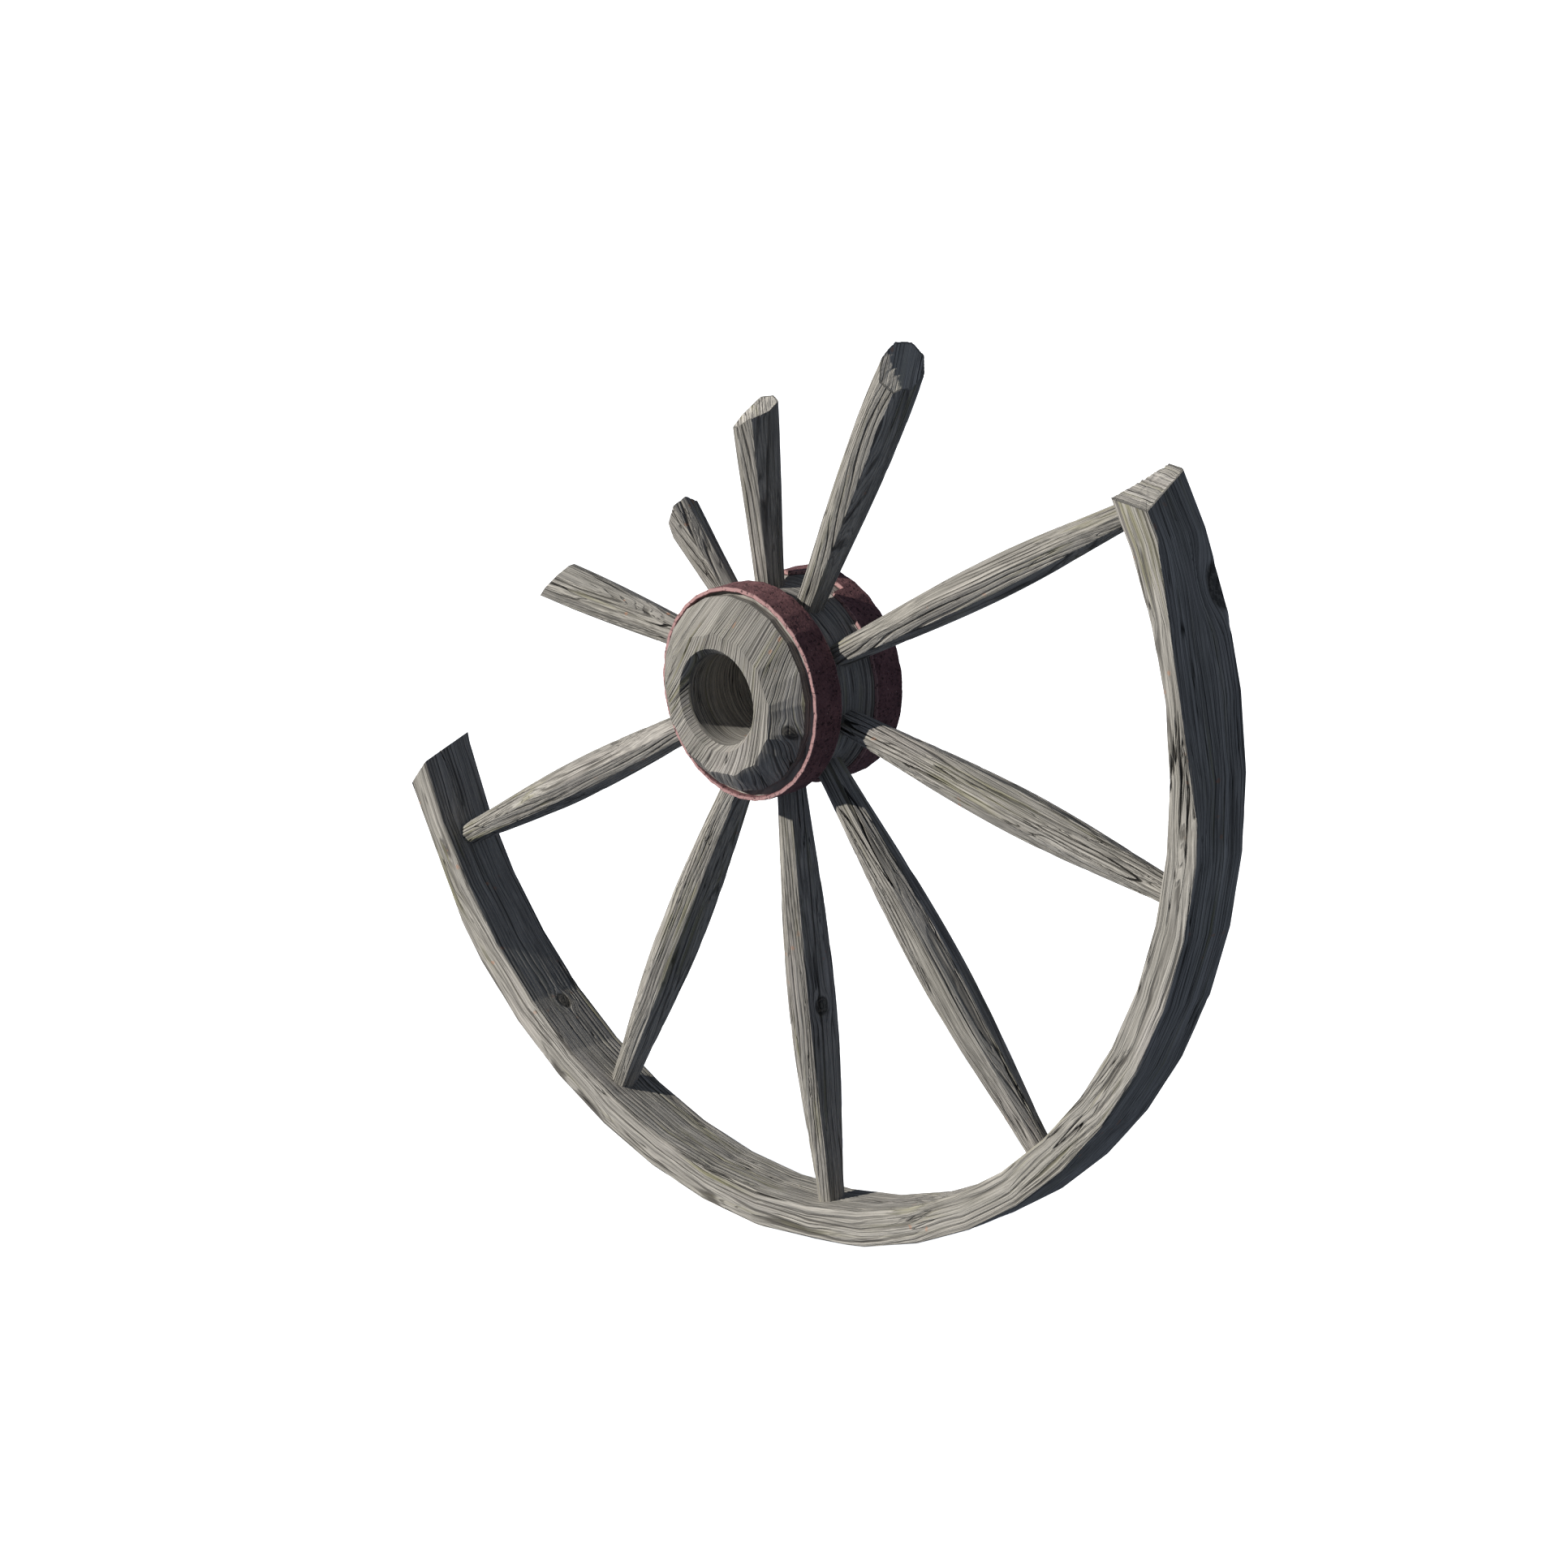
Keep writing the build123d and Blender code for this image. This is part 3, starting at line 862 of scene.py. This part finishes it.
def build_felloe(tree):
    """Wraps the grid round the rim: a cap, the felloe's length, and the other cap."""
    net, size, row, column = tree.net, tree.sizes, tree.row, tree.column
    rearwards, outwards = rectangle(column, WIDE_SAMPLES, DEEP_SAMPLES)
    rearwards, outwards = rearwards * (2 * HALF_WIDTH), outwards * (2 * HALF_DEPTH)
    rearwards, outwards, way_y, way_r = round_corners(
        rearwards, outwards, HALF_WIDTH, HALF_DEPTH, CORNER_R
    )

    end_row = END_ROWS + FELLOE_ROWS
    start_slope, end_slope = size["Start slope"], size["End slope"]
    cap = row.rise(0, END_ROWS) - row.rise(end_row, end_row + END_ROWS)
    spot_y, spot_r = rearwards * cap, outwards * cap
    first = start_slope.part(0) * spot_r + start_slope.part(1) * spot_y
    last = end_slope.part(0) * spot_r + end_slope.part(1) * spot_y
    chipped = (spot_r + HALF_DEPTH) * CHIP_SLOPES[0] + (spot_y + HALF_WIDTH) * CHIP_SLOPES[1]
    last = last + (last.least(chipped) - last) * size["Chip"]
    radians = math.pi / 180
    first = first / RIM_MIDDLE + size["Start"] * radians
    last = last / RIM_MIDDLE + size["End"] * radians
    angle = first + (last - first) * row.rise(END_ROWS, end_row)

    grain = net.vector(spot_y, spot_r, angle * RIM_MIDDLE) + tuple(FELLOE_SHIFT)
    side_grain = net.vector(rearwards, outwards, angle * RIM_MIDDLE) + tuple(FELLOE_SHIFT)
    depth = weather_depth(net, side_grain) * RIM_WEATHER
    spot_y, spot_r = spot_y - way_y * depth * cap, spot_r - way_r * depth * cap

    hewn = many_sided(angle - math.radians(FLAT_START), math.radians(FLAT_DEGREES))
    radius = (spot_r + RIM_MIDDLE) * hewn

    for wear_angle, wear_depth, wear_tilt in WEAR:
        tilt, middle = math.radians(wear_tilt), math.radians(wear_angle)
        local = (angle - middle).cosine() * radius
        beyond = (local - (TREAD_R - wear_depth)) * math.cos(tilt)
        beyond = beyond - (spot_y + HALF_WIDTH) * math.sin(tilt)
        rough = net.noise(grain, (70.0, 70.0, 9.0)) * WEAR_ROUGHNESS
        near = 1.0 - (angle - middle).size().rise(*WEAR_REACH)
        beyond = (beyond + rough).most(0.0) * near
        radius = radius - beyond * math.cos(tilt)
        spot_y = spot_y + beyond * math.sin(tilt)

    torn = net.noise(grain, (60.0, 230.0, 60.0)).rise(0.42, 0.7) * TEAR_DEPTH
    inner_cap = (1.0 - cap).rise(0.0, 0.15)
    broken_start = start_slope.length().rise(0.0, 0.1) * (1.0 - row.rise(0, 2 * END_ROWS))
    broken_end = end_slope.length().rise(0.0, 0.1) * row.rise(end_row - END_ROWS, end_row)
    tear = torn * inner_cap * (broken_start - broken_end) / RIM_MIDDLE

    end_grain = net.vector(spot_y, spot_y * 0.4, spot_r) + tuple(FELLOE_SHIFT * 1.7)
    on_end = (1.0 - cap).rise(0.05, 0.06)
    tree.store("grain", grain + (end_grain - grain) * on_end)
    tree.store("torn", on_end, "FLOAT")
    angle = angle + tear
    tree.close(net.vector(angle.cosine() * radius, spot_y, angle.sine() * radius))


build_felloe(felloe_tree)
print("nodes in the felloe's tree:", len(felloe_tree.tree.nodes))

# %% Three felloes
# Each felloe: its start in degrees, that end's slopes, the same for its end, and 1 where the end
# is chipped.
RIM_START, RIM_END = -159.6, 31.35
JOINTS = (-98.8, -29.5)
SQUARE = (0.0, 0.0, 0.0)
FELLOES = [
    ("felloe_left", RIM_START, (0.57, -0.29, 0.0), JOINTS[0], SQUARE, 0.0),
    ("felloe_bottom", JOINTS[0], SQUARE, JOINTS[1], SQUARE, 0.0),
    ("felloe_right", JOINTS[1], SQUARE, RIM_END, (-0.72, 0.42, 0.0), 1.0),
]
for name, start, start_slope, end, end_slope, chip in FELLOES:
    grow(
        felloe_tree,
        "oak_" + name,
        name,
        "felloe_wood",
        start=start,
        start_slope=start_slope,
        end=end,
        end_slope=end_slope,
        chip=chip,
        material=wood,
    )

# %% [markdown]
# ## The nave's hoops
#
# Two iron hoops keep the nave from splitting. Each is a flat bar bent to a ring, so its tree
# carries a rectangle round a circle. Rust has nibbled the edges, and has eaten a long piece out
# of the rear hoop's front edge, near the top. The tree gives the edge's place at each angle, so
# the gap needs no cutting: it is only an edge that steps back.

# %% The hoop's tree
HOOP_COLUMNS_WIDE = 30
HOOP_COLUMNS_DEEP = 12
HOOP_COLUMNS = 2 * (HOOP_COLUMNS_WIDE + HOOP_COLUMNS_DEEP)
HOOP_ROWS = 540
HOOP_CORNER = 0.0011
HOOP_FLATS = 32
HOOP_PATTERN_R = 0.093
GAP_START_DEGREES, GAP_END_DEGREES, GAP_TAPER_DEGREES = 64.6, 98.0, 9.0
GAP_STEP = 0.012  # radians over which the gap's steep end steps back
NIBBLE = 3.5 * MM
RUB_WIDTH = 2.2 * MM
DENT_DEPTH = 0.9 * MM
PIT_DEPTH = 0.5 * MM

hoop_sizes = {
    "Front edge": "Float",
    "Rear edge": "Float",
    "Inner radius": "Float",
    "Thickness": "Float",
    "Gap depth": "Float",
    "Material": "Material",
}
hoop_tree = Piece("hoop", hoop_sizes, HOOP_COLUMNS, HOOP_ROWS)


def build_hoop(tree):
    """Wraps the grid into a flat bar bent to a ring."""
    net, size, row, column = tree.net, tree.sizes, tree.row, tree.column
    along, through = rectangle(column, HOOP_COLUMNS_WIDE, HOOP_COLUMNS_DEEP)

    angle = row * (2 * math.pi / HOOP_ROWS)
    round_trip = net.vector(angle.cosine(), 0.0, angle.sine()) * HOOP_PATTERN_R
    own_shift = net.vector(0.0, size["Front edge"] * 3.0, 0.0)
    nibble = net.noise(round_trip + own_shift, 90.0, 3.0, 0.6) - 0.5
    taper = math.radians(GAP_TAPER_DEGREES)
    gap = (angle - math.radians(GAP_START_DEGREES)).rise(0.0, GAP_STEP)
    gap = gap.least((math.radians(GAP_END_DEGREES) - angle).rise(0.0, taper))
    front = size["Front edge"] + gap * size["Gap depth"] + nibble.most(0.0) * NIBBLE
    rear = size["Rear edge"] + nibble.least(0.0) * NIBBLE

    half_width = (rear - front) / 2
    half_thick = size["Thickness"] / 2
    rearwards, outwards = along * 2.0 * half_width, through * 2.0 * half_thick
    rearwards, outwards, way_y, way_r = round_corners(
        rearwards, outwards, half_width, half_thick, HOOP_CORNER
    )

    place = round_trip + net.vector(0.0, rearwards, outwards)
    dents = net.noise(place, 45.0, 2.0) * DENT_DEPTH
    pits = net.noise(place, 300.0, 2.0).rise(0.58, 0.7) * PIT_DEPTH
    depth = (dents + pits) * (through + 0.5).rise(0.2, 0.6)
    rearwards = rearwards - way_y * depth * 0.5
    outwards = outwards - way_r * depth

    hewn = many_sided(angle, 2 * math.pi / HOOP_FLATS)
    radius = (outwards + half_thick + size["Inner radius"]) * hewn
    y = rearwards + (front + rear) / 2

    edge = 1.0 - (half_width - rearwards.size()).rise(0.0, RUB_WIDTH)
    tree.store("rub", edge * (through + 0.5).rise(0.1, 0.3), "FLOAT")
    tree.close(net.vector(angle.cosine() * radius, y, angle.sine() * radius))


build_hoop(hoop_tree)
print("nodes in the hoop's tree:", len(hoop_tree.tree.nodes))

# %% Two hoops
HOOP_WIDTH = 0.0325
HOOP_GAP = 0.022  # from the wheel's middle to a hoop's near edge
HOOP_INNER_R = 0.092
HOOP_THICK = 0.0045
FRONT_HOOP = (-HOOP_GAP - HOOP_WIDTH, -HOOP_GAP)
REAR_HOOP = (HOOP_GAP, HOOP_GAP + HOOP_WIDTH)
GAP_DEPTH = 0.0135
for name, (front, rear), gap in (
    ("nave_band_front", FRONT_HOOP, 0.0),
    ("nave_band_rear", REAR_HOOP, GAP_DEPTH),
):
    grow(
        hoop_tree,
        "iron_" + name,
        name,
        "rusty_iron",
        front_edge=front,
        rear_edge=rear,
        inner_radius=HOOP_INNER_R,
        thickness=HOOP_THICK,
        gap_depth=gap,
        material=iron,
    )

# %% [markdown]
# ## The nave
#
# The nave is one turned block. Its half profile is a short list of corners, so plain mesh code
# turns it: the profile is walked at even steps, and each step becomes a ring of points. The
# front nose has worn off centre and rounds over to a ridge, a flat ring follows, and the bore's
# mouth flares. Years of knocks have left the rounded parts in flats. The grain's
# streaks run slanting over the two ends, and round the sides and the bore.

# %% The nave's profile
HALF_NAVE = 0.082
BORE_R, MOUTH_R, MOUTH_DEPTH = 0.040, 0.046, 0.008
FACE_R, NOSE_R = 0.065, 0.088
NOSE_START = 0.0575
BARREL_R, SEAT_END, BARREL_FLARE = 0.0865, 0.0495, 0.006
NAVE_COLUMNS, ROW_STEP = 400, 0.0022
SEAM = math.radians(173.5)  # where the grain that runs round the nave meets itself
NOSE_BULGE = 0.02  # how far the nose rounds out past a plain cone
NOSE_POINTS = 9


def nose_arc(end):
    """Points from the nose's shoulder round to the face's ridge, at the front or the rear."""
    start = np.array([NOSE_R, end * NOSE_START])
    stop = np.array([FACE_R, end * HALF_NAVE])
    out = np.array([stop[1] * end - start[1] * end, start[0] - stop[0]])
    bulge = NOSE_BULGE * np.array([NOSE_R - FACE_R, end * (HALF_NAVE - NOSE_START)]) * 4
    points = []
    for share in np.linspace(0, 1, NOSE_POINTS):
        points.append(start + (stop - start) * share + bulge * share * (1 - share))
    return points


profile = [(BORE_R, 0.0), (BORE_R, -HALF_NAVE + MOUTH_DEPTH), (MOUTH_R, -HALF_NAVE)]
profile += nose_arc(-1)[::-1]
profile += [(NOSE_R, -SEAT_END), (HOOP_INNER_R, -SEAT_END), (HOOP_INNER_R, -HOOP_GAP)]
profile += [(BARREL_R, -HOOP_GAP + BARREL_FLARE), (BARREL_R, HOOP_GAP - BARREL_FLARE)]
profile += [(HOOP_INNER_R, HOOP_GAP), (HOOP_INNER_R, SEAT_END), (NOSE_R, SEAT_END)]
profile += nose_arc(1)
profile += [(MOUTH_R, HALF_NAVE), (BORE_R, HALF_NAVE - MOUTH_DEPTH), (BORE_R, 0.0)]
profile = np.array([tuple(p) for p in profile])
print("profile corners:", len(profile))

# %% Turn the nave
rings = []
for start, stop in zip(profile[:-1], profile[1:]):
    parts = max(1, round(np.linalg.norm(stop - start) / ROW_STEP))
    rings += [start + (stop - start) * i / parts for i in range(parts)]
ring_r, ring_y = np.array(rings).T
NAVE_ROWS = len(rings)

turns = np.arange(NAVE_COLUMNS) * (2 * math.pi / NAVE_COLUMNS)
angle, radius = np.meshgrid(turns, ring_r, indexing="ij")
y = np.broadcast_to(ring_y, angle.shape)


def hewn_share(angle, flats, offset):
    """How far a many-sided outline lies inside its circle."""
    flat = 2 * math.pi / flats
    in_flat = ((angle - offset) / flat) % 1.0 - 0.5
    return math.cos(flat / 2) / np.cos(in_flat * flat)


HAIR = 0.00001
NOSE_FLATS, RIDGE_FLATS, RIDGE_FLATNESS = 20, 13, 1.5
NOSE_SHIFT, RIDGE_SHIFT = (-0.0025, 0.0008), (0.0040, -0.0040)
outer = np.clip((radius - 0.050) / 0.014, 0, 1)
on_nose = (np.abs(y) > SEAT_END - HAIR) & (radius < NOSE_R + HAIR)
nose = on_nose * outer
ridge = np.clip((np.abs(y) - 0.060) / 0.020, 0, 1) * outer
radius = radius * (1 + nose * (hewn_share(angle, NOSE_FLATS, 0.1) - 1))
radius = radius * (1 + ridge * (hewn_share(angle, RIDGE_FLATS, 0.2) - 1) * RIDGE_FLATNESS)
front_nose, front_ridge = nose * (y < 0), ridge * (y < 0)
x = radius * np.cos(angle) + NOSE_SHIFT[0] * front_nose + RIDGE_SHIFT[0] * front_ridge
z = radius * np.sin(angle) + NOSE_SHIFT[1] * front_nose + RIDGE_SHIFT[1] * front_ridge

points = np.stack([x, y, z], axis=-1).reshape(-1, 3)
first = np.arange(NAVE_COLUMNS * NAVE_ROWS).reshape(NAVE_COLUMNS, NAVE_ROWS)
beside_it = np.roll(first, -1, axis=0)
quads = np.stack(
    [first, np.roll(first, -1, axis=1), np.roll(beside_it, -1, axis=1), beside_it], axis=-1
).reshape(-1, 4)
turned = bpy.data.meshes.new("turned")
turned.from_pydata(points.tolist(), [], quads.tolist())

at_x, at_y, at_z = points.T
across = 1.1 * at_x - 0.45 * at_z + 6.0 * at_x * at_z
along = 0.45 * at_x + 0.9 * at_z
end_grain = np.stack([across, 0.3 * across, along], axis=-1)
half_turn = np.abs((angle.ravel() - SEAM + math.pi) % (2 * math.pi) - math.pi)
side_grain = np.stack([at_y, 0.5 * at_y, half_turn * np.hypot(at_x, at_z)], axis=-1)
is_end = on_nose & (np.abs(y) > NOSE_START - HAIR) & (radius > BORE_R + HAIR)
grain = np.where(is_end.ravel()[:, None], end_grain, side_grain) + np.array(NAVE_SHIFT)
turned.attributes.new("grain", "FLOAT_VECTOR", "POINT").data.foreach_set(
    "vector", grain.astype(np.float32).ravel()
)
print("nave:", len(points), "points")

# %% [markdown]
# ## Weathering a finished surface
#
# The nave already has its shape, so its tree only follows the surface: it reads the stored
# grain, works out how deep the weather has gone, and moves each point that far inwards.

# %% Weather the nave
NAVE_WEATHER = 0.4
weather_tree = bpy.data.node_groups.new("weather", "GeometryNodeTree")
face = weather_tree.interface
face.new_socket("Turned piece", in_out="INPUT", socket_type="NodeSocketGeometry")
strength_socket = face.new_socket("Strength", in_out="INPUT", socket_type="NodeSocketFloat")
paint_socket = face.new_socket("Material", in_out="INPUT", socket_type="NodeSocketMaterial")
face.new_socket("Weathered piece", in_out="OUTPUT", socket_type="NodeSocketGeometry")
net = Net(weather_tree)
group_input = weather_tree.nodes.new("NodeGroupInput")
turned_piece, strength, paint = (Value(net, group_input.outputs[i]) for i in range(3))
grain_field = net.add(
    "GeometryNodeInputNamedAttribute", {"data_type": "FLOAT_VECTOR"}, {"Name": "grain"}
)
normal = net.add("GeometryNodeInputNormal")
offset = normal * (weather_depth(net, grain_field) * strength * -1.0)
moved = net.add("GeometryNodeSetPosition", None, {"Geometry": turned_piece, "Offset": offset})
smooth = net.add("GeometryNodeSetShadeSmooth", None, {"Geometry": moved})
real = net.add("GeometryNodeRealizeInstances", None, {"Geometry": smooth})
painted = net.add("GeometryNodeSetMaterial", None, {"Geometry": real, "Material": paint})
net.feed(weather_tree.nodes.new("NodeGroupOutput").inputs[0], painted)

face_outwards(turned)
holder = bpy.data.objects.new("turned", turned)
bpy.context.scene.collection.objects.link(holder)
modifier = holder.modifiers.new("weather", "NODES")
modifier.node_group = weather_tree
modifier[strength_socket.identifier] = NAVE_WEATHER
modifier[paint_socket.identifier] = wood
graph = bpy.context.evaluated_depsgraph_get()
nave_mesh = bpy.data.meshes.new_from_object(holder.evaluated_get(graph), depsgraph=graph)
bpy.data.objects.remove(holder)
keep(nave_mesh, "oak_nave", "nave")

# %% [markdown]
# ## Dowels
#
# The dowels that pin the felloes lie hidden in their joints. Their plain shape is right, so the
# engineering solids stay, and only get the wood.

# %% Dowels
for name in ("felloe_dowel_left", "felloe_dowel_right"):
    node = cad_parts[name]
    node.data.materials.clear()
    node.data.materials.append(dowel_wood)
print("dowels painted")

# %% [markdown]
# ## The floor
#
# The floor is a wide pale sheet under the lowest point of the rim.

# %% Floor
FLOOR_REACH = 40.0
FLOOR_GLOW = 0.98
lowest = cad_box[0][2]
corners = [(-1, -1), (1, -1), (1, 1), (-1, 1)]
floor_mesh = bpy.data.meshes.new("floor")
floor_points = [(a * FLOOR_REACH, b * FLOOR_REACH, lowest) for a, b in corners]
floor_mesh.from_pydata(floor_points, [], [(0, 1, 2, 3)])
floor = bpy.data.objects.new("floor", floor_mesh)
bpy.context.scene.collection.objects.link(floor)
floor_paint, net, surface = new_material("pale_floor")
glow = net.add("ShaderNodeEmission", None, {"Color": (1.0, 1.0, 1.0), "Strength": FLOOR_GLOW})
matt = net.add("ShaderNodeBsdfDiffuse", None, {"Color": (0.9, 0.9, 0.9)})
net.feed(surface, net.add("ShaderNodeAddShader", None, {0: glow, 1: matt}))
floor_mesh.materials.append(floor_paint)
floor.visible_diffuse = False
floor.visible_glossy = False

world = bpy.data.worlds.new("sky")
bpy.context.scene.world = world
world.use_nodes = True
world.node_tree.nodes.clear()
net = Net(world.node_tree)
lights = net.add("ShaderNodeBackground", None, {"Color": SKY_LIGHT, "Strength": 1.0})
seen = net.add("ShaderNodeBackground", None, {"Color": SEEN_SKY, "Strength": 1.0})
by_eye = net.add("ShaderNodeLightPath", None, None, "Is Camera Ray")
sky = net.add("ShaderNodeMixShader", None, {0: by_eye, 1: lights, 2: seen})
net.feed(world.node_tree.nodes.new("ShaderNodeOutputWorld").inputs["Surface"], sky)
print("floor at", round(lowest, 4))
